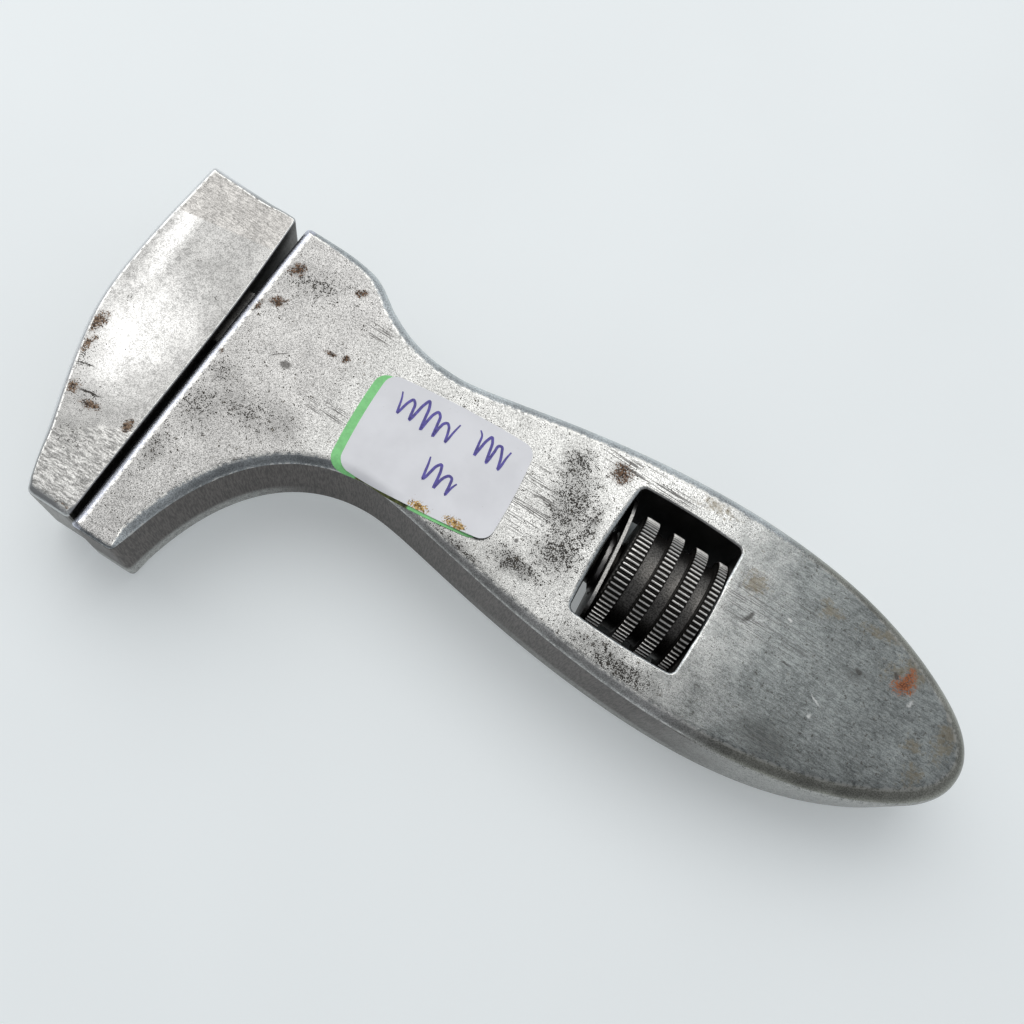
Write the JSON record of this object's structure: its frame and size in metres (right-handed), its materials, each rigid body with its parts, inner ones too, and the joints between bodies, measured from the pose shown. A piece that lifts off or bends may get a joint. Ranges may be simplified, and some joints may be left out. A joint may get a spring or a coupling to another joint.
{
  "type": "adjustable wrench",
  "caption": "Small pocket adjustable wrench: a T-shaped moving jaw slides through the neck, driven by a knurled nut held in a window of the leaf-shaped handle.",
  "frame": {"origin": "the point where the screw's axis meets the fixed jaw's gripping face", "axes": "+X along the screw's axis from the handle towards the jaws, +Y towards the jaw tips, +Z out of the front face that carries the labels"},
  "size_m": [0.1021, 0.0407, 0.0138],
  "materials": {
    "satin_steel": "worn satin with pits, file marks and rust spots",
    "bright_steel": "worn bright with pits and brown patches",
    "dark_steel": "dark and oily in the grooves, bright on the knurl's crests",
    "spring_steel": "bright thin sheet",
    "green_paper": "matt",
    "white_paper": "matt with pen marks"
  },
  "bodies": {
    "body": {"body": "satin_steel", "spring_plate": "spring_steel", "lower_label": "green_paper", "upper_label": "white_paper"},
    "moving_jaw": {"moving_jaw": "bright_steel"},
    "adjusting_nut": {"adjusting_nut": "dark_steel"}
  },
  "joints": [
    {"name": "jaw_slide", "type": "slide", "parent": "body", "child": "moving_jaw", "axis": [1, 0, 0], "range_m": [-0.0005, 0.012]},
    {"name": "nut_spin", "type": "hinge", "parent": "body", "child": "adjusting_nut", "pos_m": [-0.053, 0, 0], "axis": [1, 0, 0], "range_deg": [-2161, 91]}
  ],
  "couplings": [
    {"joint": "nut_spin", "follows": "jaw_slide", "rad_per_m": -3141.6}
  ]
}
